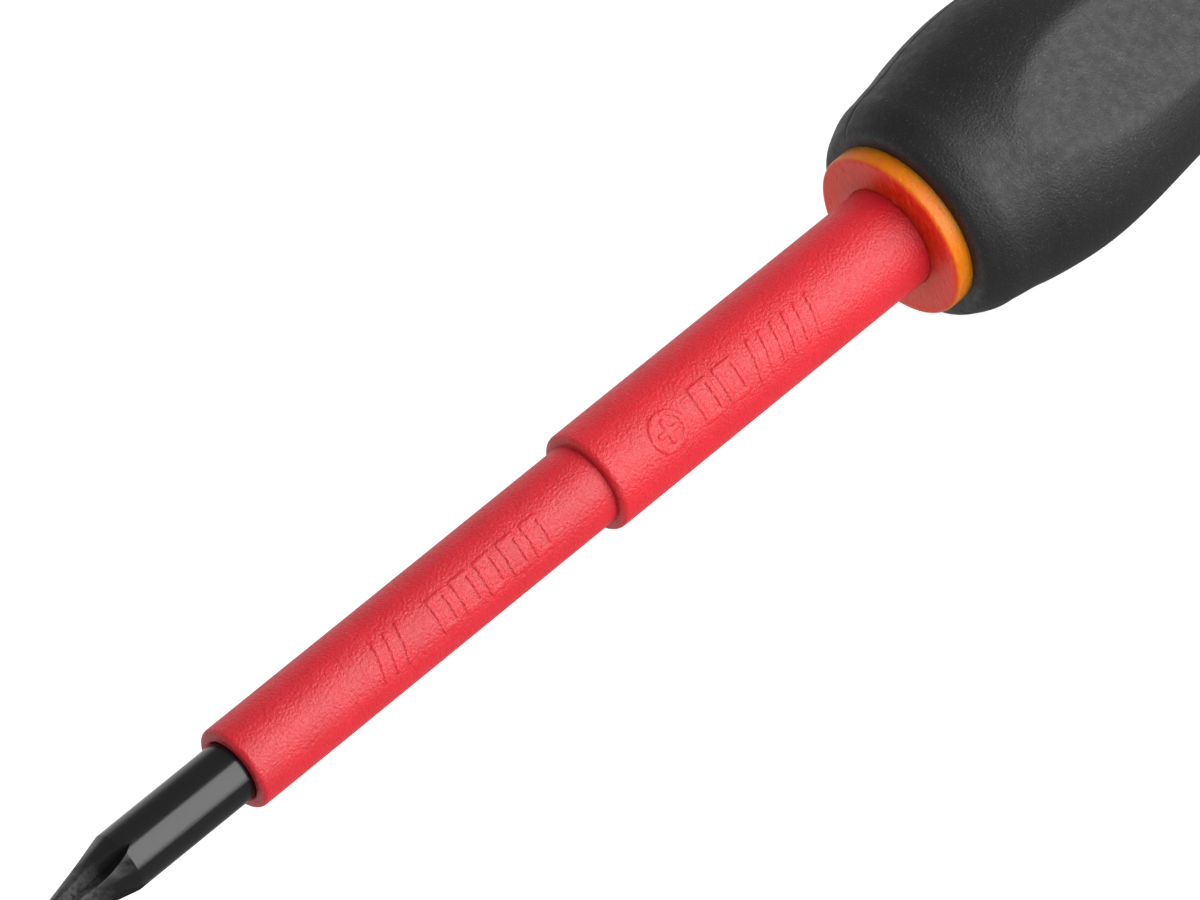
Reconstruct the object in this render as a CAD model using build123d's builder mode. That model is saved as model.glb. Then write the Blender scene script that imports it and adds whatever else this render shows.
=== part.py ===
from build123d import *

import os
from math import cos, radians, sin, tan

# Insulated cross-tip screwdriver, blade size 1 x 80 mm, with a moulded three-layer handle.
#
# Frame: +X runs along the tool's axis from the handle to the tip, +Z is up, and the origin is
# the middle of the tip's end face. All lengths are in millimetres. Places on the handle are
# given as stations: distances behind the front face of its flange. Angles round the axis are
# counted from +Y towards +Z.

# Blade
BLADE_DIAMETER = 4.5
BLADE_REACH = 80.0  # from the flange's face to the tip's end
BLADE_EMBEDDED = 72.0  # inside the handle
BLADE_REAR_CHAMFER = 0.6
WING_STATIONS = (50.0, 61.0)  # fronts of the two pairs of pressed wings
WING_SIZE = (7.0, 7.6, 1.7)  # length, span and thickness
WING_ROUNDING = 0.4

# Cross tip, size 1
TIP_END_DIAMETER = 1.3
TIP_CONE_ANGLE = 26.5  # included
FLUTE_COUNT = 4
FIRST_FLUTE = 45.0
FLUTE_LEAD = 1.0  # how far in front of the tip's end a flute's cutter starts
FLUTE_ANGLE = 92.0  # between the two walls of a flute
FLUTE_ROOT_RADIUS = 0.38  # at the tip's end
FLUTE_ROOT_SLOPE = 5.75
FLUTE_STRAIGHT = 3.5
FLUTE_RUNOUT_RADIUS = 8.0
FLUTE_RUNOUT_TURN = 42.0
FLUTE_HEIGHT = 4.0  # more than the blade's radius, so that a flute opens outwards

# Insulating sleeves
INNER_SLEEVE_DIAMETER = 6.3
INNER_SLEEVE_REACH = 63.0  # from the flange's face, so that 17 mm of the tip is bare
INNER_SLEEVE_EMBEDDED = 20.0
OUTER_SLEEVE_DIAMETER = 7.74
OUTER_SLEEVE_REACH = 30.0
OUTER_SLEEVE_EMBEDDED = 12.0
OUTER_SLEEVE_ROOT_DIAMETER = 7.4  # inside the handle
SLEEVE_END_ROUNDING = 0.42
SLEEVE_MOUTH_CHAMFER = 0.15

# Handle
HANDLE_LENGTH = 122.0
FLANGE_RADIUS = 6.5
FLANGE_RIM = 1.5
FLANGE_EDGE_ROUNDING = 0.35
NECK_RADIUS = 5.2  # of the shell between the flange and its body
LIP_FACE_RADIUS = 7.1  # of the lip's flat front face, against the flange
LIP_END = (5.0, 8.75)  # station and radius where the lip's quarter ellipse ends
GRIP_THICKNESS = 2.2
SHELL_THICKNESS = 2.0
GRIP_END = 104.0
GRIP_REAR_ROUNDING = 0.5
SECTION_POINTS = 24
FLANKS = (30.0, 150.0, 270.0)  # middles of the grip's three flats, so that one faces down
FLANK_EDGE_BLEND = 0.45  # how far from a flat's edge its rounding starts, in radius
PAD_SIZE = (32.0, 6.6)  # the shell's pads in the grip's windows, along and across the handle
PAD_STATION = 76.0
PAD_INSET = 0.25

# The grip's outline from the lip's end back: station, radius of its round sides, and how far
# the middle of a flat lies inside that radius. The guard is the bulge in front, where the flats
# start. The waist takes the fingertips, and the swell fills the palm.
GUARD = [
    (5.0, 8.8, 0.0),
    (8.0, 9.36, 0.0),
    (10.5, 9.76, 0.36),
    (13.0, 10.0, 0.76),
    (21.0, 9.52, 1.15),
]
WAIST = [(34.0, 8.7, 1.05)]
SWELL = [(48.0, 10.3, 1.15), (64.0, 13.5, 1.25), (80.0, 15.3, 1.3), (92.0, 15.1, 1.1)]
HEEL = [(GRIP_END, 13.7, 0.5)]
OUTLINE = GUARD + WAIST + SWELL + HEEL

# Core, inside the shell
CORE_START = 3.0
CORE_NECK = (12.0, 4.5)  # the core's front stretch: where it ends, and its radius
CORE_END = 98.0
RIB_COUNT = 6
RIB_SIZE = (22.0, 1.6, 0.8)  # length, width and height over the core at the swell
RIB_STATION = 81.0

# Rear collar of the shell, and the end cap
COLLAR_RADIUS = 13.1
COLLAR_END = 106.0
SPIGOT_RADIUS = 9.0
CAP_EDGE_RADIUS = 13.0
CAP_END_RADIUS = 7.0
CAP_BULGE = (115.5, 11.9)  # a point on the cap's curved side
TANG_START = 109.0
TANG_THICKNESS = 15.0
TANG_CORNER = 2.5
TANG_EDGE_ROUNDING = 0.8
CAP_END_ROUNDING = 1.2
CAP_FRONT_ROUNDING = 0.4
HANGING_HOLE_DIAMETER = 5.2
HANGING_HOLE_STATION = 114.5
SYMBOL_RADIUS = 5.0
SYMBOL_ARM_WIDTH = 2.2
SYMBOL_DEPTH = 0.8
SYMBOL_CORNER_ROUNDING = 0.6

BLADE_RADIUS = BLADE_DIAMETER / 2
REAR = -BLADE_REACH - HANDLE_LENGTH  # x of the handle's rear face


def at(station, radius):
    """The point of the tool's half-section at a station and a radius."""
    return (-BLADE_REACH - station, radius)


def across(station, turn=0.0):
    """The plane across the handle at a station, with its local x at an angle from +Y."""
    sideways = Vector(0, cos(radians(turn)), sin(radians(turn)))
    return Plane(origin=(-BLADE_REACH - station, 0, 0), x_dir=sideways, z_dir=(1, 0, 0))


def facing(angle, height=0.0):
    """The plane facing outwards at an angle from +Y towards +Z, with its local x along +X."""
    outwards = Vector(0, cos(radians(angle)), sin(radians(angle)))
    return Plane(origin=outwards * height, x_dir=(1, 0, 0), z_dir=outwards)


def flanked_radius(angle, radius, flank_depth):
    """The radius of a circle with three flats, whose edges are rounded, at an angle from the
    middle of a round side."""
    pitch = 360.0 / len(FLANKS)
    from_middle = angle % pitch - pitch / 2
    flat = (radius - flank_depth) / cos(radians(from_middle))
    blend = min(FLANK_EDGE_BLEND, flank_depth)
    near = max(blend - abs(flat - radius), 0)
    return min(flat, radius) - near**2 / (4 * blend)


def flanked_section(station, radius, flank_depth):
    """A section across the handle: a circle with three flats, or a plain circle."""
    plane = across(station, FLANKS[0] - 180.0 / len(FLANKS))
    if not flank_depth:
        with BuildSketch(plane) as section:
            Circle(radius)
        return section.sketch
    points = []
    for step in range(SECTION_POINTS):
        angle = 360.0 / SECTION_POINTS * step
        reach = flanked_radius(angle, radius, flank_depth)
        points.append((reach * cos(radians(angle)), reach * sin(radians(angle))))
    with BuildSketch(plane) as section:
        with BuildLine():
            Spline(*points, periodic=True)
        make_face()
    return section.sketch


# The blade: a round shank with a cone and four flutes at its tip, and wings that hold it in
# the handle's core.
with BuildPart() as blade:
    shank_rear = -BLADE_REACH - BLADE_EMBEDDED
    cone_length = (BLADE_RADIUS - TIP_END_DIAMETER / 2) / tan(radians(TIP_CONE_ANGLE / 2))
    with BuildSketch(Plane.XY):
        with BuildLine():
            Polyline(
                (0, 0),
                (0, TIP_END_DIAMETER / 2),
                (-cone_length, BLADE_RADIUS),
                (shank_rear + BLADE_REAR_CHAMFER, BLADE_RADIUS),
                (shank_rear, BLADE_RADIUS - BLADE_REAR_CHAMFER),
                (shank_rear, 0),
                close=True,
            )
        make_face()
    revolve(axis=Axis.X)

    wing_length, wing_span, wing_thickness = WING_SIZE
    for number, station in enumerate(WING_STATIONS):
        wing_plane = Plane.XY if number % 2 == 0 else Plane.XZ
        with BuildSketch(wing_plane.offset(-wing_thickness / 2)):
            with Locations(at(station + wing_length / 2, 0)):
                RectangleRounded(wing_length, wing_span, WING_ROUNDING)
        extrude(amount=wing_thickness)

    for number in range(FLUTE_COUNT):
        flute_angle = FIRST_FLUTE + 360.0 / FLUTE_COUNT * number
        side = Plane(
            origin=(0, 0, 0),
            x_dir=(-1, 0, 0),
            z_dir=Vector(0, sin(radians(flute_angle)), -cos(radians(flute_angle))),
        )
        with BuildLine(side) as root:
            root_rise = tan(radians(FLUTE_ROOT_SLOPE))
            straight = Line(
                (-FLUTE_LEAD, FLUTE_ROOT_RADIUS - FLUTE_LEAD * root_rise),
                (FLUTE_STRAIGHT, FLUTE_ROOT_RADIUS + FLUTE_STRAIGHT * root_rise),
            )
            JernArc(straight @ 1, straight % 1, FLUTE_RUNOUT_RADIUS, FLUTE_RUNOUT_TURN)
        start = root.line @ 0
        with BuildSketch(Plane(origin=start, x_dir=-side.z_dir, z_dir=root.line % 0)):
            half_width = FLUTE_HEIGHT * tan(radians(FLUTE_ANGLE / 2))
            with BuildLine():
                Polyline((0, 0), (half_width, FLUTE_HEIGHT), (-half_width, FLUTE_HEIGHT), close=True)
            make_face()
        sweep(path=root.line, mode=Mode.SUBTRACT)
blade.part.label = "blade"

# The inner sleeve: a thin tube moulded on the blade, with a rounded front end.
with BuildPart() as inner_sleeve:
    with BuildSketch(across(INNER_SLEEVE_EMBEDDED)):
        Circle(INNER_SLEEVE_DIAMETER / 2)
        Circle(BLADE_RADIUS, mode=Mode.SUBTRACT)
    extrude(amount=INNER_SLEEVE_EMBEDDED + INNER_SLEEVE_REACH)
    front_edges = inner_sleeve.faces().sort_by(Axis.X)[-1].edges().sort_by(SortBy.RADIUS)
    fillet(front_edges[-1], SLEEVE_END_ROUNDING)
    chamfer(front_edges[0], SLEEVE_MOUTH_CHAMFER)
inner_sleeve.part.label = "inner_sleeve"

# The outer sleeve: a second tube over the first, as far as the step. Its root in the handle is
# a little thinner, so that the flange closes round it.
with BuildPart() as outer_sleeve:
    with BuildSketch(across(0)):
        Circle(OUTER_SLEEVE_DIAMETER / 2)
        Circle(INNER_SLEEVE_DIAMETER / 2, mode=Mode.SUBTRACT)
    extrude(amount=OUTER_SLEEVE_REACH)
    outer_edge = outer_sleeve.faces().sort_by(Axis.X)[-1].edges().sort_by(SortBy.RADIUS)[-1]
    fillet(outer_edge, SLEEVE_END_ROUNDING)
    with BuildSketch(across(OUTER_SLEEVE_EMBEDDED)):
        Circle(OUTER_SLEEVE_ROOT_DIAMETER / 2)
        Circle(INNER_SLEEVE_DIAMETER / 2, mode=Mode.SUBTRACT)
    extrude(amount=OUTER_SLEEVE_EMBEDDED)
outer_sleeve.part.label = "outer_sleeve"

# The core: the hard first shot, moulded on the blade's wings and on the sleeves' roots. Ribs
# round its swell pass the turning force to the shell.
with BuildPart() as handle_core:
    core_depth = GRIP_THICKNESS + SHELL_THICKNESS
    core_curve = [at(*CORE_NECK)]
    core_curve += [at(s, r - core_depth) for s, r, flank in WAIST + SWELL]
    core_curve += [at(CORE_END, HEEL[0][1] - core_depth)]
    with BuildSketch(Plane.XY):
        with BuildLine():
            Polyline(core_curve[-1], at(CORE_END, 0), at(CORE_START, 0), at(CORE_START, CORE_NECK[1]),
                     core_curve[0])
            Spline(*core_curve)
        make_face()
    revolve(axis=Axis.X)
    rib_length, rib_width, rib_height = RIB_SIZE
    rib_top = SWELL[2][1] - core_depth + rib_height
    for number in range(RIB_COUNT):
        with BuildSketch(facing(360.0 / RIB_COUNT * number)):
            with Locations(at(RIB_STATION, 0)):
                SlotOverall(rib_length, rib_width)
        extrude(amount=rib_top)
    for held in (blade, inner_sleeve, outer_sleeve):
        add(held.part, mode=Mode.SUBTRACT)
handle_core.part.label = "handle_core"

# The grip's outer skin, as a full solid: it bounds the grip and the shell's pads.
with BuildPart() as skin:
    loft([flanked_section(*place) for place in OUTLINE])

# Where the shell's pads stand in the grip's windows.
with BuildPart() as windows:
    for angle in FLANKS:
        with BuildSketch(facing(angle, SWELL[0][1] / 2)):
            with Locations(at(PAD_STATION, 0)):
                SlotOverall(*PAD_SIZE)
        extrude(amount=SWELL[2][1])

# The shell: the hard second shot over the core. Its flange shows in front of the grip, its
# pads in the grip's windows, and its collar behind the grip.
with BuildPart() as pads:
    loft([flanked_section(s, r - PAD_INSET, flank) for s, r, flank in OUTLINE])
    add(windows.part, mode=Mode.INTERSECT)

with BuildPart() as handle_shell:
    shell_curve = [at(s, r - GRIP_THICKNESS) for s, r, flank in OUTLINE]
    with BuildSketch(Plane.XY):
        with BuildLine():
            Polyline(
                shell_curve[-1],
                at(GRIP_END, COLLAR_RADIUS),
                at(COLLAR_END, COLLAR_RADIUS),
                at(COLLAR_END, 0),
                at(0, 0),
                at(0, FLANGE_RADIUS),
                at(FLANGE_RIM, FLANGE_RADIUS),
                at(FLANGE_RIM, NECK_RADIUS),
                shell_curve[0],
            )
            Spline(*shell_curve)
        make_face()
    revolve(axis=Axis.X)
    fillet(handle_shell.faces().sort_by(Axis.X)[-1].outer_wire().edges(), FLANGE_EDGE_ROUNDING)
    add(pads.part)
    with BuildSketch(across(COLLAR_END)):
        Circle(SPIGOT_RADIUS)
    extrude(amount=COLLAR_END - CORE_END, mode=Mode.SUBTRACT)
    for held in (blade, inner_sleeve, outer_sleeve, handle_core):
        add(held.part, mode=Mode.SUBTRACT)
handle_shell.part.label = "handle_shell"

# The soft grip: the last shot, with a lip behind the flange, a guard bulge, a waist and a
# swell. Its three flats keep the tool from rolling.
with BuildPart() as soft_grip:
    add(skin.part)
    fillet(soft_grip.faces().sort_by(Axis.X)[0].edges(), GRIP_REAR_ROUNDING)
    lip_station, lip_radius = LIP_END
    with BuildSketch(Plane.XY):
        with BuildLine():
            EllipticalCenterArc(
                center=at(lip_station, LIP_FACE_RADIUS),
                x_radius=lip_station - FLANGE_RIM,
                y_radius=lip_radius - LIP_FACE_RADIUS,
                start_angle=0,
                arc_size=90,
            )
            Polyline(
                at(*LIP_END), at(lip_station, 0), at(FLANGE_RIM, 0), at(FLANGE_RIM, LIP_FACE_RADIUS)
            )
        make_face()
    revolve(axis=Axis.X)
    add(windows.part, mode=Mode.SUBTRACT)
    with BuildSketch(Plane.XY):
        with BuildLine():
            Polyline(
                shell_curve[-1],
                at(GRIP_END, 0),
                at(FLANGE_RIM, 0),
                at(FLANGE_RIM, NECK_RADIUS),
                shell_curve[0],
            )
            Spline(*shell_curve)
        make_face()
    revolve(axis=Axis.X, mode=Mode.SUBTRACT)
soft_grip.part.label = "soft_grip"

# The symbol: a cross set in the cap's rear face, which shows the kind of tip when the tools
# stand in a rack.
with BuildPart() as tip_symbol:
    with BuildSketch(across(HANDLE_LENGTH)) as cross:
        Rectangle(2 * SYMBOL_RADIUS, SYMBOL_ARM_WIDTH)
        Rectangle(SYMBOL_ARM_WIDTH, 2 * SYMBOL_RADIUS)
        inner_corners = cross.vertices().sort_by(SortBy.DISTANCE)[:4]
        fillet(inner_corners, SYMBOL_CORNER_ROUNDING)
    extrude(amount=SYMBOL_DEPTH)
tip_symbol.part.label = "tip_symbol"

# The end cap: a domed cap with a spigot in the shell's rear. Behind the dome it is a flat tang
# with a hanging hole through it, and its rear face has a pocket for the symbol.
with BuildPart() as end_cap:
    with BuildSketch(Plane.XY):
        with BuildLine():
            ThreePointArc(
                at(COLLAR_END, CAP_EDGE_RADIUS),
                at(*CAP_BULGE),
                at(HANDLE_LENGTH, CAP_END_RADIUS),
            )
            Polyline(
                at(HANDLE_LENGTH, CAP_END_RADIUS),
                at(HANDLE_LENGTH, 0),
                at(CORE_END, 0),
                at(CORE_END, SPIGOT_RADIUS),
                at(COLLAR_END, SPIGOT_RADIUS),
                at(COLLAR_END, CAP_EDGE_RADIUS),
            )
        make_face()
    revolve(axis=Axis.X)
    fillet(end_cap.faces().sort_by(Axis.X)[0].edges(), CAP_END_ROUNDING)
    shoulder = end_cap.faces().filter_by(Plane.YZ).sort_by(Axis.X)[1]
    fillet(shoulder.edges().sort_by(SortBy.RADIUS)[-1], CAP_FRONT_ROUNDING)
    with BuildSketch(Plane.XY.offset(-CAP_EDGE_RADIUS)):
        for side in (-1, 1):
            with Locations((REAR, side * (TANG_THICKNESS / 2 + CAP_EDGE_RADIUS))):
                RectangleRounded(
                    2 * (HANDLE_LENGTH - TANG_START), 2 * CAP_EDGE_RADIUS, TANG_CORNER
                )
    extrude(amount=2 * CAP_EDGE_RADIUS, mode=Mode.SUBTRACT)
    tang_edges = [
        edge
        for face in end_cap.faces().filter_by(Axis.Y)
        for edge in face.edges().filter_by(GeomType.LINE, reverse=True)
    ]
    fillet(tang_edges, TANG_EDGE_ROUNDING)
    with BuildSketch(Plane.XZ.offset(-TANG_THICKNESS / 2)):
        with Locations(at(HANGING_HOLE_STATION, 0)):
            Circle(HANGING_HOLE_DIAMETER / 2)
    extrude(amount=TANG_THICKNESS, mode=Mode.SUBTRACT)
    add(tip_symbol.part, mode=Mode.SUBTRACT)
end_cap.part.label = "end_cap"

os.makedirs("parts", exist_ok=True)
for piece in (
    blade, inner_sleeve, outer_sleeve, handle_core, handle_shell, soft_grip, end_cap, tip_symbol
):
    export_step(piece.part, f"parts/{piece.part.label}.step")
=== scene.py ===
from math import atan, cos, degrees, pi, radians, sin, sqrt

import bpy
import bmesh
import numpy as np
from mathutils import Matrix, Vector


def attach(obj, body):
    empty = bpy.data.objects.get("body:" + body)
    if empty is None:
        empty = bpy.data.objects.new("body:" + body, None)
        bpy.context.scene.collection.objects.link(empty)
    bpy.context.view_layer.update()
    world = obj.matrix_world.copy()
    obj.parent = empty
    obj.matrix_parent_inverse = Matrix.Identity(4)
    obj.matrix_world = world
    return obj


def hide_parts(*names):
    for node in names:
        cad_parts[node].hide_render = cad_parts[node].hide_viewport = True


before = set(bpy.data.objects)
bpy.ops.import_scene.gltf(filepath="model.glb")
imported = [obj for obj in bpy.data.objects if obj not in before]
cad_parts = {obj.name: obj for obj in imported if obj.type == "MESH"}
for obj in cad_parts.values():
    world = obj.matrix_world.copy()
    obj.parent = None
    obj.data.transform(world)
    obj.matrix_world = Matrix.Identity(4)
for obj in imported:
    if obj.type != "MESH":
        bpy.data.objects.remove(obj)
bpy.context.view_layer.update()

# Lengths are in millimetres until a mesh, light or camera is made, where MM turns them into
# metres. Places on the handle are stations: distances behind the flange's front face. Angles
# round the tool's axis are counted in degrees from +Y towards +Z.
MM = 0.001

# Sizes repeated from the CAD model
BLADE_REACH = 80.0
BLADE_RADIUS = 2.25
INNER_SLEEVE_RADIUS = 3.15
INNER_SLEEVE_REACH = 63.0
INNER_SLEEVE_EMBEDDED = 20.0
OUTER_SLEEVE_RADIUS = 3.87
OUTER_SLEEVE_REACH = 30.0
OUTER_SLEEVE_EMBEDDED = 2.0
SLEEVE_END_ROUNDING = 0.42
SLEEVE_MOUTH_CHAMFER = 0.15
FLANGE_RADIUS = 6.5
FLANGE_RIM = 1.5
FLANGE_EDGE_ROUNDING = 0.35
NECK_RADIUS = 5.2
LIP_FACE_RADIUS = 7.1
LIP_END = (5.0, 8.75)
GRIP_THICKNESS = 2.2
GRIP_END = 104.0
GRIP_REAR_ROUNDING = 0.5
COLLAR_RADIUS = 13.1
COLLAR_END = 106.0
FLANK_EDGE_BLEND = 0.28
PAD_SIZE = (32.0, 6.6)
PAD_STATION = 76.0
PAD_INSET = 0.25
FLANKS = (30.0, 150.0, 270.0)  # middles of the grip's three flats

# The grip's outline: station, radius of its round sides, depth of the flats in their middles
OUTLINE = [
    (5.0, 8.8, 0.0), (8.0, 9.36, 0.0), (10.5, 9.76, 0.36), (13.0, 10.0, 0.76),
    (21.0, 9.52, 1.15), (34.0, 8.7, 1.05), (48.0, 10.3, 1.15), (64.0, 13.5, 1.25),
    (80.0, 15.3, 1.3), (92.0, 15.1, 1.1), (GRIP_END, 13.7, 0.5),
]

# Details that only the looks have. A crease is given by its station, width and depth.
FLANK_RADIUS = 14.2  # of the swell in the middle of a flat, for measuring across the windows
PAD_PROFILE = (  # distance inwards from a pad's edge, and height against the grip's skin
    (0.0, -1.6), (0.02, -0.9), (0.10, -0.5), (0.25, -0.33), (0.5, -0.26), (1.0, -PAD_INSET),
    (1.8, -PAD_INSET), (2.6, -PAD_INSET), (3.2, -PAD_INSET),
)
WINDOW_PROFILE = (  # distance outwards from a window's edge, and height against the grip's skin
    (-0.3, -1.2), (0.0, -0.42), (0.08, -0.22), (0.2, -0.09), (0.35, -0.03), (0.55, 0.0),
)
COLLAR_WALL = 3.0
SEAM_ANGLES = (111.5, -68.5)
SEAM_WIDTH = 0.16
SEAM_DEPTH = 0.07
CREASES = ((2.5, 0.9, 0.14), (6.8, 1.0, 0.06))
MARK_ANGLE = 20.0
MARK_BAND = 1.9  # half the width of the band that has the marks
MARK_GRID = 0.06  # between the mesh's points in that band
MARK_STROKE = 0.28
MARK_EDGE = 0.10
MARK_HEIGHT = 0.075

# The camera, in front of the tool on its +Y side and a little above it
CAMERA_LENS = 240.0
CAMERA_SENSOR = 36.0
CAMERA_RIGHT = Vector((-0.70060, 0.61800, -0.35680))
CAMERA_UP = Vector((-0.56780, -0.17996, 0.80330))
CAMERA_BACK = Vector((0.43230, 0.76530, 0.47695))
FLANGE_IN_VIEW = (19.929, 14.666, -552.282)  # right, up and towards the camera, from the camera

# Where the tool touches the floor, as station and depth: under its guard and its palm swell
GUARD_CONTACT = (8.5, 9.40)
SWELL_CONTACT = (78.3, 13.91)

# The stage, in metres. The room's light is dim, and bright where both fades are bright: each
# fade is a direction, and how far along it the light is dim and bright.
FLOOR_RADIUS = 0.34
BACKDROP_RADIUS = 8.0
ROOM_DIM, ROOM_BRIGHT = 0.24, 0.90
ROOM_FADES = (((0.0, 0.5, 0.866), 0.32, -0.15), ((0.55, -0.719, 0.415), -0.35, 0.5))
SOFTBOX_SIZE = (0.86, 0.80)
SOFTBOX_DISTANCE = 0.62
SOFTBOX_RADIANCE = 4.0
SOFTBOX_BEHIND = 0.4323  # share of its direction that runs along the tool, behind the tip
SOFTBOX_ANGLE = 14.0  # round the tool's axis


def collection():
    return bpy.context.scene.collection


def smooth_curve(knots, values, places):
    """A natural cubic spline through (knots, values), read at the places."""
    knots, values = np.array(knots), np.array(values)
    step = np.diff(knots)
    slope = np.diff(values) / step
    count = len(knots)
    system, right = np.eye(count), np.zeros(count)
    for i in range(1, count - 1):
        system[i, i - 1 : i + 2] = step[i - 1], 2 * (step[i - 1] + step[i]), step[i]
        right[i] = 6 * (slope[i] - slope[i - 1])
    bend = np.linalg.solve(system, right)
    at = np.clip(np.searchsorted(knots, places) - 1, 0, count - 2)
    here, span = places - knots[at], step[at]
    first = slope[at] - span * (2 * bend[at] + bend[at + 1]) / 6
    third = here * (bend[at + 1] - bend[at]) / (6 * span)
    return values[at] + here * (first + here * (bend[at] / 2 + third))


def soft_least(first, second, blend):
    """The lesser of two lengths, rounded off where they come within blend of each other."""
    near = np.maximum(blend - np.abs(first - second), 0)
    return np.minimum(first, second) - near**2 / np.maximum(4 * blend, 1e-9)


def grip_radius(station, angle):
    """The grip's outer radius behind the lip, without seams and windows. Angles in degrees."""
    knots = [place[0] for place in OUTLINE]
    round_side = smooth_curve(knots, [place[1] for place in OUTLINE], station)
    depth = np.maximum(smooth_curve(knots, [place[2] for place in OUTLINE], station), 0)
    pitch = 360.0 / len(FLANKS)
    from_middle = (angle - FLANKS[0] + pitch / 2) % pitch - pitch / 2
    flat = (round_side - depth) / np.cos(np.radians(from_middle))
    return soft_least(flat, round_side, np.minimum(FLANK_EDGE_BLEND, depth))


def angle_between(angle, other):
    """How far angle is from other, from -180 to 180 degrees."""
    return (angle - other + 180.0) % 360.0 - 180.0


def spaced(*spans):
    """Places from the start of the first (start, end, step) to the end of the last, rising."""
    places = [np.arange(start, end, step) for start, end, step in spans]
    return np.concatenate(places + [[spans[-1][1]]])


def round_angles(step, *fine):
    """Angles all round, in degrees, with finer steps in each (centre, half width, step)."""
    angles = list(np.arange(0.0, 360.0, step))
    for centre, half, fine_step in fine:
        angles = [a for a in angles if abs(angle_between(a, centre)) > half]
        angles += list((centre + np.arange(-half, half + fine_step / 2, fine_step)) % 360.0)
    return np.array(sorted(angles))


def tube_piece(name, stations, radii, angles, material, node):
    """A closed ring-shaped piece from a grid: one row for each station, one column for each
    angle. Stations and radii are arrays of rows by columns, or of rows alone."""
    rows, columns = len(stations), len(angles)
    stations = np.broadcast_to(np.reshape(stations, (rows, -1)), (rows, columns))
    radii = np.broadcast_to(np.reshape(radii, (rows, -1)), (rows, columns))
    turn = np.radians(angles)[None, :]
    points = np.stack(
        [-BLADE_REACH - stations, radii * np.cos(turn), radii * np.sin(turn)], axis=-1
    )
    row, column = np.meshgrid(np.arange(rows), np.arange(columns), indexing="ij")
    next_row, next_column = (row + 1) % rows, (column + 1) % columns
    corners = np.stack(
        [row * columns + column, row * columns + next_column,
         next_row * columns + next_column, next_row * columns + column],
        axis=-1,
    )
    mesh = bpy.data.meshes.new(name)
    mesh.from_pydata((points.reshape(-1, 3) * MM).tolist(), [], corners.reshape(-1, 4).tolist())
    return finished(name, mesh, material, node)


def finished(name, mesh, material, node, sharp_angle=50.0):
    """The piece made from a mesh: smooth, with its material, standing for its CAD node."""
    shape = bmesh.new()
    shape.from_mesh(mesh)
    bmesh.ops.recalc_face_normals(shape, faces=shape.faces)
    shape.to_mesh(mesh)
    shape.free()
    mesh.shade_smooth()
    mesh.set_sharp_from_angle(angle=radians(sharp_angle))
    mesh.materials.append(material)
    piece = bpy.data.objects.new(name, mesh)
    collection().objects.link(piece)
    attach(piece, "root")
    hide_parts(node)
    return piece


# Materials ----------------------------------------------------------------------------------


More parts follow.
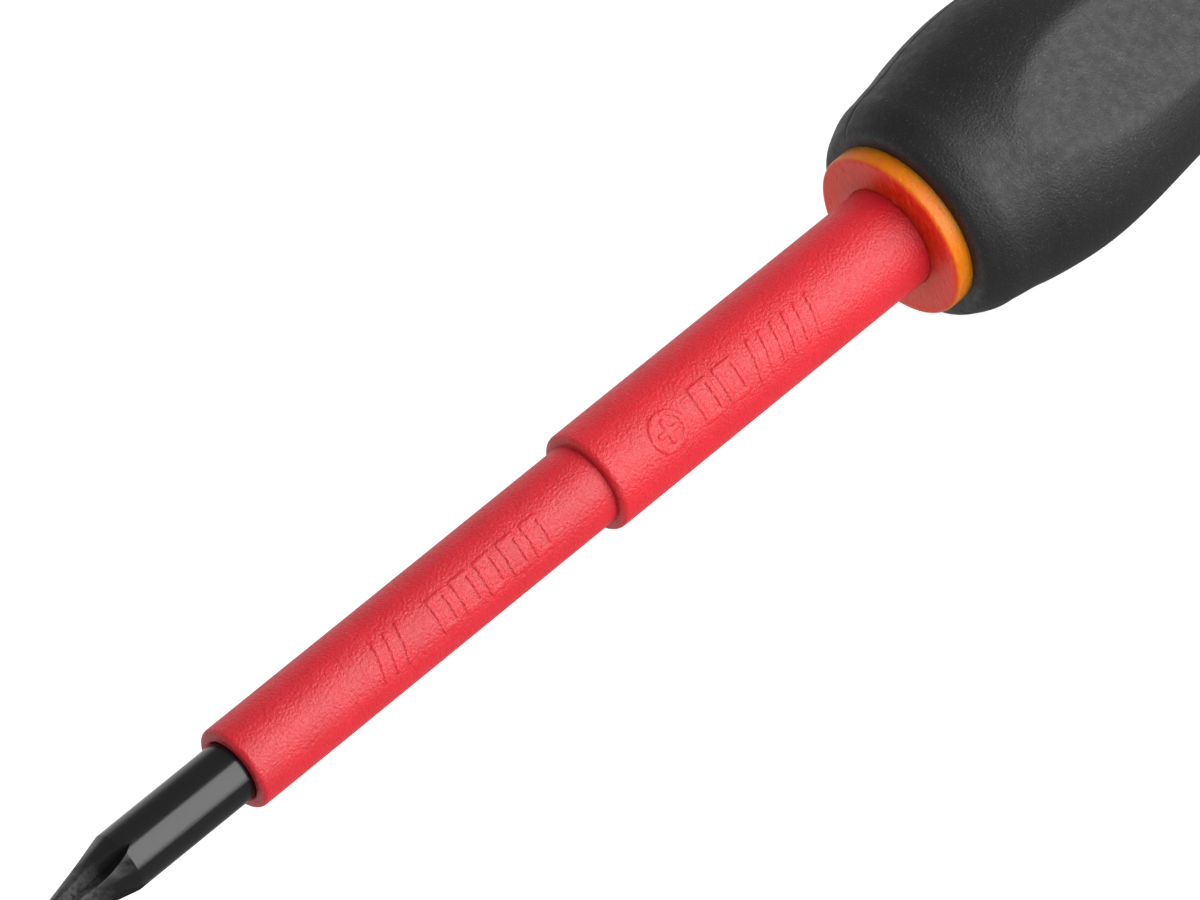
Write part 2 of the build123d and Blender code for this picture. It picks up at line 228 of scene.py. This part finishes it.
class Paint:
    """A material under construction: its node tree, its shader and its object coordinates."""

    def __init__(self, name, roughness, **sockets):
        self.material = bpy.data.materials.new(name)
        self.material.use_nodes = True
        self.tree = self.material.node_tree
        self.shader = self.tree.nodes["Principled BSDF"]
        self.coordinates = self.tree.nodes.new("ShaderNodeTexCoord")
        self.normal = None
        self.shader.inputs["Roughness"].default_value = roughness
        for socket, value in sockets.items():
            self.shader.inputs[socket.replace("_", " ")].default_value = value

    def link(self, source, target):
        self.tree.links.new(source, target)

    def noise(self, size_mm, detail=3.0, stretch=(1.0, 1.0, 1.0), roughness=0.55):
        """Noise whose lumps are about size_mm wide, stretched along the axes."""
        mapping = self.tree.nodes.new("ShaderNodeMapping")
        mapping.inputs["Scale"].default_value = [1 / (size_mm * MM * s) for s in stretch]
        self.link(self.coordinates.outputs["Object"], mapping.inputs["Vector"])
        noise = self.tree.nodes.new("ShaderNodeTexNoise")
        noise.inputs["Scale"].default_value = 1.0
        noise.inputs["Detail"].default_value = detail
        noise.inputs["Roughness"].default_value = roughness
        self.link(mapping.outputs["Vector"], noise.inputs["Vector"])
        return noise.outputs["Fac"]

    def ramp(self, factor, *stops):
        """Colours, or greys, at places from 0 to 1 along a factor."""
        ramp = self.tree.nodes.new("ShaderNodeValToRGB")
        while len(ramp.color_ramp.elements) < len(stops):
            ramp.color_ramp.elements.new(0.5)
        for element, (place, colour) in zip(ramp.color_ramp.elements, stops):
            element.position = place
            element.color = (*colour, 1.0) if isinstance(colour, tuple) else (colour,) * 3 + (1.0,)
        self.link(factor, ramp.inputs["Fac"])
        return ramp.outputs["Color"]

    def mix(self, factor, low, high):
        """Between two colours by a factor. Each is a socket or a plain colour."""
        mix = self.tree.nodes.new("ShaderNodeMix")
        mix.data_type = "RGBA"
        self.link(factor, mix.inputs["Factor"])
        for socket, value in (("A", low), ("B", high)):
            target = [s for s in mix.inputs if s.name == socket and s.type == "RGBA"][0]
            if isinstance(value, tuple):
                target.default_value = (*value, 1.0)
            else:
                self.link(value, target)
        return [s for s in mix.outputs if s.type == "RGBA"][0]

    def to_range(self, factor, low, high, from_low=0.0, from_high=1.0):
        mapped = self.tree.nodes.new("ShaderNodeMapRange")
        mapped.inputs["From Min"].default_value = from_low
        mapped.inputs["From Max"].default_value = from_high
        mapped.inputs["To Min"].default_value = low
        mapped.inputs["To Max"].default_value = high
        self.link(factor, mapped.inputs["Value"])
        return mapped.outputs["Result"]

    def bump(self, height, depth_mm, strength=1.0):
        """Adds relief of this depth on top of the relief so far."""
        bump = self.tree.nodes.new("ShaderNodeBump")
        bump.inputs["Strength"].default_value = strength
        bump.inputs["Distance"].default_value = depth_mm * MM
        self.link(height, bump.inputs["Height"])
        if self.normal is not None:
            self.link(self.normal, bump.inputs["Normal"])
        self.normal = bump.outputs["Normal"]
        self.link(self.normal, self.shader.inputs["Normal"])

    def colour(self, source):
        self.link(source, self.shader.inputs["Base Color"])

    def roughness(self, source):
        self.link(source, self.shader.inputs["Roughness"])


def insulation(name, base, deep):
    """Red moulded insulation: matt and a little translucent, with a fine orange-peel grain."""
    paint = Paint(name, 0.45, IOR=1.5, Specular_IOR_Level=0.62, Diffuse_Roughness=1.0,
                  Subsurface_Weight=0.3, Subsurface_Scale=0.001, Sheen_Weight=0.4,
                  Sheen_Roughness=0.6)
    paint.shader.inputs["Subsurface Radius"].default_value = (1.0, 0.12, 0.12)
    paint.shader.inputs["Sheen Tint"].default_value = (1.0, 0.10, 0.12, 1.0)
    paint.colour(paint.mix(paint.to_range(paint.noise(2.2), 0.0, 1.0, 0.35, 0.65), base, deep))
    paint.roughness(paint.to_range(paint.noise(0.5), 0.38, 0.50, 0.3, 0.7))
    paint.bump(paint.noise(1.6, detail=1.0), 0.02)
    paint.bump(paint.noise(0.20, detail=2.0), 0.105)
    return paint.material


def grip_rubber():
    """Black soft rubber: matt, finely speckled, a little greyer where it is rubbed."""
    paint = Paint("grip_rubber", 0.55, IOR=1.48, Specular_IOR_Level=0.56)
    rubbed = paint.to_range(paint.noise(9.0, detail=4.0), 0.0, 1.0, 0.4, 0.7)
    rubber = paint.mix(rubbed, (0.0065, 0.0065, 0.0072), (0.0105, 0.0105, 0.0113))
    dust = paint.to_range(paint.noise(0.16, detail=1.0), 0.0, 1.0, 0.66, 0.74)
    paint.colour(paint.mix(dust, rubber, (0.05, 0.05, 0.053)))
    paint.roughness(paint.to_range(paint.noise(0.8), 0.48, 0.64, 0.3, 0.7))
    paint.bump(paint.noise(0.20, detail=2.0), 0.05)
    paint.bump(paint.noise(2.5, detail=1.0), 0.02)
    return paint.material


def orange_plastic(name):
    """Hard orange plastic with a satin skin."""
    paint = Paint(name, 0.4, IOR=1.5, Subsurface_Weight=0.12, Subsurface_Scale=0.001)
    blotches = paint.to_range(paint.noise(3.0), 0.0, 1.0, 0.35, 0.65)
    paint.colour(paint.mix(blotches, (0.60, 0.125, 0.002), (0.55, 0.105, 0.002)))
    paint.roughness(paint.to_range(paint.noise(0.6), 0.34, 0.48, 0.3, 0.7))
    paint.bump(paint.noise(0.3, detail=2.0), 0.010)
    return paint.material


def flange_plastic():
    """The flange: orange round its rim; across its face a deep red that is painted shade and
    painted red light from the sleeve, streaked and scuffed.
    """
    paint = Paint("flange_plastic", 0.4, IOR=1.5, Subsurface_Weight=0.8, Subsurface_Scale=0.003,
                  Specular_IOR_Level=0.34)
    paint.shader.inputs["Subsurface Radius"].default_value = (1.0, 0.10, 0.03)
    geometry = paint.tree.nodes.new("ShaderNodeNewGeometry")
    parts = paint.tree.nodes.new("ShaderNodeSeparateXYZ")
    paint.link(geometry.outputs["True Normal"], parts.inputs["Vector"])
    # Painted shade: the face towards the tip is coloured deep red for the shade it sits in and the
    # red light the sleeve throws on it; its pinkish streaks are real scuffs.
    shaded_scuffed_face = paint.to_range(parts.outputs["X"], 0.0, 1.0, 0.55, 0.95)
    streaks = paint.noise(0.35, detail=4.0, stretch=(1.0, 1.0, 2.6), roughness=0.65)
    shade_red_and_scuffs = paint.ramp(streaks, (0.36, (0.85, 0.022, 0.001)), (0.52, (0.90, 0.035, 0.003)),
                       (0.70, (0.95, 0.10, 0.030)))
    blotches = paint.to_range(paint.noise(3.0), 0.0, 1.0, 0.35, 0.65)
    orange = paint.mix(blotches, (1.0, 0.215, 0.001), (0.96, 0.195, 0.001))
    paint.colour(paint.mix(shaded_scuffed_face, orange, shade_red_and_scuffs))
    paint.roughness(paint.to_range(streaks, 0.24, 0.55, 0.35, 0.65))
    paint.bump(paint.noise(0.3, detail=2.0), 0.010)
    paint.bump(streaks, 0.12, strength=0.8)
    return paint.material


def blade_steel():
    """Black-oxidised steel: smooth and glossy, drawn lengthwise, worn bright at the tip."""
    paint = Paint("blade_steel", 0.2, IOR=1.52)
    lengthwise = (40.0, 1.0, 1.0)
    parts = paint.tree.nodes.new("ShaderNodeSeparateXYZ")
    paint.link(paint.coordinates.outputs["Object"], parts.inputs["Vector"])
    near_tip = paint.to_range(parts.outputs["X"], 0.0, 1.0, -5.0 * MM, -0.5 * MM)
    patchy = paint.to_range(paint.noise(0.5, detail=5.0), 0.0, 1.0, 0.35, 0.65)
    wear = paint.tree.nodes.new("ShaderNodeMath")
    wear.operation = "MULTIPLY"
    paint.link(near_tip, wear.inputs[0])
    paint.link(patchy, wear.inputs[1])
    paint.colour(paint.mix(wear.outputs["Value"], (0.008, 0.008, 0.009), (0.23, 0.225, 0.22)))
    paint.link(wear.outputs["Value"], paint.shader.inputs["Metallic"])
    paint.roughness(paint.to_range(paint.noise(0.12, stretch=lengthwise), 0.15, 0.26, 0.3, 0.7))
    paint.bump(paint.noise(0.10, stretch=lengthwise), 0.0015)
    return paint.material


def cap_plastic():
    """The end cap's hard black plastic, with a spark-eroded grain."""
    paint = Paint("cap_plastic", 0.45, IOR=1.5)
    blotches = paint.to_range(paint.noise(4.0), 0.0, 1.0, 0.35, 0.65)
    paint.colour(paint.mix(blotches, (0.011, 0.011, 0.012), (0.016, 0.016, 0.017)))
    paint.roughness(paint.to_range(paint.noise(0.4), 0.38, 0.54, 0.3, 0.7))
    paint.bump(paint.noise(0.35, detail=3.0), 0.03)
    return paint.material


# Pieces -------------------------------------------------------------------------------------


def outline(corners):
    """The strokes that join the corners in turn, and the last to the first."""
    return list(zip(corners, corners[1:] + corners[:1]))


def ring(centre, radius, sides=28):
    """A circle round a point of the sleeve's marked band."""
    turns = [radians(360.0 / sides * i) for i in range(sides)]
    return outline([(centre + radius * cos(turn), radius * sin(turn)) for turn in turns])


def box(centre, half_length, half_height):
    """A rectangle round a point of the sleeve's marked band."""
    low, high = centre - half_length, centre + half_length
    return outline([(low, -half_height), (high, -half_height), (high, half_height),
                    (low, half_height)])


def bars(centre, count, pitch, half_height, slant=0.0):
    """Upright or slanting strokes side by side."""
    places = [centre + (i - (count - 1) / 2) * pitch for i in range(count)]
    return [((p - slant, -half_height), (p + slant, half_height)) for p in places]


def mark_relief(along, up, strokes):
    """Height of the raised marks at points of the unrolled sleeve."""
    nearest = np.full(np.broadcast(along, up).shape, 1e3)
    for (x0, y0), (x1, y1) in strokes:
        dx, dy = x1 - x0, y1 - y0
        share = np.clip(((along - x0) * dx + (up - y0) * dy) / (dx * dx + dy * dy), 0, 1)
        away = np.hypot(along - x0 - share * dx, up - y0 - share * dy)
        nearest = np.minimum(nearest, away)
    edge = np.clip((MARK_STROKE / 2 + MARK_EDGE - nearest) / MARK_EDGE, 0, 1)
    return MARK_HEIGHT * edge * edge * (3 - 2 * edge)


def sleeve(name, radius, bore, reach, embedded, chamfer, strokes, marked, material, node):
    """A sleeve with a rounded front end and raised marks on the band between two reaches."""
    marked_low, marked_high = marked
    outside = spaced(
        (-embedded, marked_low, 0.8), (marked_low, marked_high, MARK_GRID),
        (marked_high, reach - SLEEVE_END_ROUNDING, 0.4),
    )
    bend = np.radians(np.linspace(12.0, 90.0, 8))
    rounding_reach = reach - SLEEVE_END_ROUNDING * (1 - np.sin(bend))
    rounding_radius = radius - SLEEVE_END_ROUNDING * (1 - np.cos(bend))
    front_face = np.linspace(radius - SLEEVE_END_ROUNDING, bore + chamfer, 5)[1:]
    reaches = np.concatenate([
        outside, rounding_reach, np.full(len(front_face), reach),
        [reach - chamfer - 0.01, -embedded],
    ])
    radii = np.concatenate([
        np.full(len(outside), radius), rounding_radius, front_face, [bore, bore]
    ])
    half_band = degrees(MARK_BAND / radius)
    angles = round_angles(3.0, (MARK_ANGLE, half_band, degrees(MARK_GRID / radius)))
    grid = np.repeat(radii[:, None], len(angles), axis=1)
    up = np.radians(angle_between(angles, MARK_ANGLE))[None, :] * radius
    along = -outside[:, None]
    grid[: len(outside)] += mark_relief(along, up, strokes)
    return tube_piece(name, -reaches, grid, angles, material, node)


def outer_sleeve_strokes():
    """A cross in a ring, two boxes and a scale of bars, raised as outlines."""
    cross = bars(-24.4, 1, 1.0, 0.75) + [((-25.15, 0.0), (-23.65, 0.0))]
    boxes = box(-20.6, 0.75, 1.25) + box(-18.2, 0.75, 1.25)
    return ring(-24.4, 1.35) + cross + boxes + bars(-13.0, 6, 1.15, 1.3, slant=0.3)


def inner_sleeve_strokes():
    """Slanting bars and a row of narrow boxes, raised as outlines."""
    strokes = bars(-50.0, 3, 1.1, 1.25, slant=0.3)
    for centre in (-45.2, -43.0, -40.8, -38.6, -36.4):
        strokes += box(centre, 0.65, 1.15)
    return strokes


def make_sleeves():
    sleeve("outer_sleeve_body", OUTER_SLEEVE_RADIUS, INNER_SLEEVE_RADIUS, OUTER_SLEEVE_REACH,
           OUTER_SLEEVE_EMBEDDED, 0.0, outer_sleeve_strokes(), (8.5, 27.0),
           insulation("outer_insulation", (0.74, 0.0095, 0.024), (0.69, 0.0080, 0.020)),
           "outer_sleeve")
    sleeve("inner_sleeve_body", INNER_SLEEVE_RADIUS, BLADE_RADIUS, INNER_SLEEVE_REACH,
           INNER_SLEEVE_EMBEDDED, SLEEVE_MOUTH_CHAMFER, inner_sleeve_strokes(), (34.5, 53.0),
           insulation("inner_insulation", (0.70, 0.0110, 0.027), (0.65, 0.0095, 0.023)),
           "inner_sleeve")


def make_flange(material):
    """The disc in front of the grip, with a rounded front edge and a short neck behind it."""
    bend = np.radians(np.linspace(0.0, 90.0, 9))
    face = np.linspace(OUTER_SLEEVE_RADIUS + 0.1, FLANGE_RADIUS - FLANGE_EDGE_ROUNDING, 14)
    stations = np.concatenate([
        [1.0, 0.25], np.zeros(len(face)), FLANGE_EDGE_ROUNDING * (1 - np.cos(bend[1:])),
        [FLANGE_RIM * 0.6, FLANGE_RIM, FLANGE_RIM, 3.0, 3.0],
    ])
    radii = np.concatenate([
        [OUTER_SLEEVE_RADIUS - 0.2, OUTER_SLEEVE_RADIUS - 0.1], face,
        FLANGE_RADIUS - FLANGE_EDGE_ROUNDING * (1 - np.sin(bend[1:])),
        [FLANGE_RADIUS, FLANGE_RADIUS, NECK_RADIUS, NECK_RADIUS, OUTER_SLEEVE_RADIUS - 0.2],
    ])
    angles = round_angles(1.5)
    tube_piece("shell_flange", stations, radii, angles, material, "handle_shell")


def make_collar(material):
    """The shell's rear collar, a narrow ring between the grip and the end cap."""
    inner = COLLAR_RADIUS - COLLAR_WALL
    stations = [GRIP_END - 1.0, GRIP_END + 0.1, GRIP_END + 0.3, COLLAR_END - 0.25, COLLAR_END,
                COLLAR_END, GRIP_END - 1.0]
    radii = [COLLAR_RADIUS - 0.4, COLLAR_RADIUS - 0.2, COLLAR_RADIUS, COLLAR_RADIUS,
             COLLAR_RADIUS - 0.2, inner, inner]
    tube_piece("shell_collar", stations, radii, round_angles(2.0), material,
               "handle_shell")


def window_distance(station, sideways):
    """Distance outside a window's slot-shaped edge, negative inside it."""
    half_length, half_width = PAD_SIZE[0] / 2, PAD_SIZE[1] / 2
    beyond = np.maximum(np.abs(station - PAD_STATION) - (half_length - half_width), 0)
    return np.hypot(beyond, sideways) - half_width


def make_pads(material):
    """The shell's pads, which fill the grip's windows and have softly rounded edges."""
    half_length, half_width = PAD_SIZE[0] / 2, PAD_SIZE[1] / 2
    turns = np.radians(np.arange(-90.0, 90.0, 6.0))
    for number, flank in enumerate(FLANKS):
        points = []
        for inward, height in PAD_PROFILE:
            reach = half_width - inward
            straight = half_length - half_width
            side = np.linspace(-straight, straight, 40)[:-1]
            along = np.concatenate([
                straight + reach * np.cos(turns), side[::-1], -straight - reach * np.cos(turns),
                side,
            ])
            across = np.concatenate([
                reach * np.sin(turns), np.full(len(side), reach), -reach * np.sin(turns),
                np.full(len(side), -reach),
            ])
            station = PAD_STATION + along
            angle = flank + np.degrees(across / FLANK_RADIUS)
            radius = grip_radius(station, angle) + height
            points.append(np.stack([-BLADE_REACH - station, radius * np.cos(np.radians(angle)),
                                    radius * np.sin(np.radians(angle))], axis=-1))
        count = len(points[0])
        faces = [
            (r * count + c, r * count + (c + 1) % count, (r + 1) * count + (c + 1) % count,
             (r + 1) * count + c)
            for r in range(len(PAD_PROFILE) - 1) for c in range(count)
        ]
        last = (len(PAD_PROFILE) - 1) * count
        faces += [tuple(range(last, last + count)), tuple(range(count))[::-1]]
        mesh = bpy.data.meshes.new(f"shell_pad_{number + 1}")
        mesh.from_pydata((np.concatenate(points) * MM).tolist(), [], faces)
        finished(mesh.name, mesh, material, "handle_shell")


def make_grip():
    """The soft grip: lip, crease, guard, waist and swell, with mould seams and windows."""
    lip_station, lip_radius = LIP_END
    outside = spaced((lip_station, 24.0, 0.2), (24.0, 58.0, 0.8), (58.0, 94.0, 0.3),
                     (94.0, GRIP_END - GRIP_REAR_ROUNDING, 0.6))
    angles = round_angles(1.25, *[(seam, 3.0, 0.2) for seam in SEAM_ANGLES])
    turn = angles[None, :]
    grid = grip_radius(outside[:, None], turn)

    bend = np.radians(np.linspace(0.0, 84.0, 15))
    lip_stations = lip_station - (lip_station - FLANGE_RIM) * np.cos(bend)
    lip_radii = LIP_FACE_RADIUS + (lip_radius - LIP_FACE_RADIUS) * np.sin(bend)
    rear_bend = np.radians(np.linspace(15.0, 90.0, 6))
    rear_stations = GRIP_END - GRIP_REAR_ROUNDING * (1 - np.sin(rear_bend))
    rear_radii = grid[-1][None, :] - GRIP_REAR_ROUNDING * (1 - np.cos(rear_bend))[:, None]
    inside = np.array([GRIP_END, 92.0, 80.0, 64.0, 48.0, 34.0, 21.0, 13.0, 8.0, 5.0])
    inside_radii = grip_radius(inside, 0.0) - GRIP_THICKNESS

    stations = np.concatenate([
        [FLANGE_RIM, FLANGE_RIM], lip_stations, outside, rear_stations, inside,
    ])
    radii = np.concatenate([
        np.repeat([[NECK_RADIUS], [FLANGE_RADIUS - 0.5]], len(angles), axis=1),
        np.repeat(lip_radii[:, None], len(angles), axis=1), grid, rear_radii,
        np.repeat(inside_radii[:, None], len(angles), axis=1),
    ])
    shown = slice(2, len(stations) - len(inside))
    station = stations[shown, None]
    relief = sum(
        -depth * np.exp(-(((station - place) / width) ** 2)) for place, width, depth in CREASES
    )
    relief = np.repeat(relief, len(angles), axis=1)
    for seam in SEAM_ANGLES:
        sideways = np.radians(angle_between(turn, seam)) * radii[shown]
        relief -= SEAM_DEPTH * np.exp(-((sideways / SEAM_WIDTH) ** 2))
    for flank in FLANKS:
        sideways = np.radians(angle_between(turn, flank)) * FLANK_RADIUS
        relief += np.interp(window_distance(station, sideways), *zip(*WINDOW_PROFILE))
    radii[shown] += relief
    tube_piece("soft_grip_body", stations, radii, angles, grip_rubber(),
               "soft_grip")


def repaint(node, material):
    """Gives a CAD node that stays as it is a finished material."""
    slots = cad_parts[node].data.materials
    slots.clear()
    slots.append(material)


# Stage --------------------------------------------------------------------------------------


def floor_frame():
    """A point of the floor under the guard, and the floor's slope towards the tip."""
    (guard, guard_depth), (swell, swell_depth) = GUARD_CONTACT, SWELL_CONTACT
    slope = atan((swell_depth - guard_depth) / (swell - guard))
    return Vector((-BLADE_REACH - guard, 0, -guard_depth)) * MM, slope


def camera_only(thing):
    """Keeps a stage piece in the picture, with no light or reflection of it on the tool."""
    thing.visible_diffuse = False
    thing.visible_glossy = False
    thing.visible_transmission = False
    thing.visible_shadow = False


def white_emission(name, strength):
    """A material that glows white, and is a pale matt white under that."""
    material = bpy.data.materials.new(name)
    material.use_nodes = True
    shader = material.node_tree.nodes["Principled BSDF"]
    shader.inputs["Base Color"].default_value = (0.6, 0.6, 0.6, 1.0)
    shader.inputs["Roughness"].default_value = 0.9
    shader.inputs["Specular IOR Level"].default_value = 0.0
    shader.inputs["Emission Color"].default_value = (1.0, 1.0, 1.0, 1.0)
    shader.inputs["Emission Strength"].default_value = strength
    return material


def make_backdrop():
    """A plain white room round the stage."""
    shape = bmesh.new()
    bmesh.ops.create_icosphere(shape, subdivisions=3, radius=BACKDROP_RADIUS)
    mesh = bpy.data.meshes.new("backdrop")
    shape.to_mesh(mesh)
    shape.free()
    room = bpy.data.objects.new("backdrop", mesh)
    collection().objects.link(room)
    mesh.materials.append(white_emission("backdrop_white", 1.0))
    camera_only(room)


def make_floor():
    """A plain white table top under the tool, tilted so that the tool really rests on it."""
    shape = bmesh.new()
    bmesh.ops.create_circle(shape, cap_ends=True, segments=96, radius=FLOOR_RADIUS)
    mesh = bpy.data.meshes.new("table_top")
    shape.to_mesh(mesh)
    shape.free()
    top = bpy.data.objects.new("table_top", mesh)
    collection().objects.link(top)
    origin, slope = floor_frame()
    top.matrix_world = Matrix.Translation(origin) @ Matrix.Rotation(-slope, 4, "Y")
    mesh.materials.append(white_emission("table_white", 0.9))
    camera_only(top)


def make_world():
    """The room's light: dim all round, and bright on the side of the tip away from +Y."""
    world = bpy.data.worlds.new("studio")
    world.use_nodes = True
    tree = world.node_tree
    background = tree.nodes["Background"]
    direction = tree.nodes.new("ShaderNodeTexCoord")
    factors = []
    for towards, dim, bright in ROOM_FADES:
        along = tree.nodes.new("ShaderNodeVectorMath")
        along.operation = "DOT_PRODUCT"
        along.inputs[1].default_value = towards
        tree.links.new(direction.outputs["Generated"], along.inputs[0])
        fade = tree.nodes.new("ShaderNodeMapRange")
        fade.interpolation_type = "SMOOTHSTEP"
        fade.inputs["From Min"].default_value = dim
        fade.inputs["From Max"].default_value = bright
        tree.links.new(along.outputs["Value"], fade.inputs["Value"])
        factors.append(fade.outputs["Result"])
    both = tree.nodes.new("ShaderNodeMath")
    both.operation = "MULTIPLY"
    tree.links.new(factors[0], both.inputs[0])
    tree.links.new(factors[1], both.inputs[1])
    ramp = tree.nodes.new("ShaderNodeValToRGB")
    ramp.color_ramp.elements[0].color = (ROOM_DIM, ROOM_DIM, ROOM_DIM, 1.0)
    ramp.color_ramp.elements[1].color = (ROOM_BRIGHT, ROOM_BRIGHT, ROOM_BRIGHT, 1.0)
    tree.links.new(both.outputs["Value"], ramp.inputs["Fac"])
    tree.links.new(ramp.outputs["Color"], background.inputs["Color"])
    bpy.context.scene.world = world


def make_softbox():
    """One large softbox, behind the handle on the +Y side and a little above it."""
    aim = Vector((-BLADE_REACH, 0.0, 0.0)) * MM
    turn, outwards = radians(SOFTBOX_ANGLE), sqrt(1 - SOFTBOX_BEHIND**2)
    towards = Vector((-SOFTBOX_BEHIND, outwards * cos(turn), outwards * sin(turn)))
    width, height = SOFTBOX_SIZE
    light = bpy.data.lights.new("softbox", "AREA")
    light.shape = "RECTANGLE"
    light.size = width
    light.size_y = height
    light.energy = SOFTBOX_RADIANCE * pi * width * height
    lamp = bpy.data.objects.new("softbox", light)
    collection().objects.link(lamp)
    lamp.location = aim + towards * SOFTBOX_DISTANCE
    lamp.rotation_mode = "QUATERNION"
    lamp.rotation_quaternion = (-towards).to_track_quat("-Z", "Y")


def make_camera():
    camera = bpy.data.cameras.new("camera")
    camera.lens = CAMERA_LENS
    camera.sensor_width = CAMERA_SENSOR
    camera.clip_start, camera.clip_end = 0.01, 50.0
    holder = bpy.data.objects.new("camera", camera)
    collection().objects.link(holder)
    right, up, towards = FLANGE_IN_VIEW
    flange = Vector((-BLADE_REACH, 0.0, 0.0))
    place = flange - CAMERA_RIGHT * right - CAMERA_UP * up - CAMERA_BACK * towards
    turn = Matrix((CAMERA_RIGHT, CAMERA_UP, CAMERA_BACK)).transposed().to_4x4()
    holder.matrix_world = Matrix.Translation(place * MM) @ turn
    bpy.context.scene.camera = holder


make_camera()
make_world()
make_softbox()
make_backdrop()
make_floor()
make_sleeves()
make_flange(flange_plastic())
orange = orange_plastic("shell_plastic")
make_collar(orange)
make_pads(orange)
make_grip()
repaint("blade", blade_steel())
repaint("handle_core", cap_plastic())
repaint("end_cap", cap_plastic())
repaint("tip_symbol", orange_plastic("symbol_plastic"))
bpy.context.scene.view_settings.view_transform = "Standard"
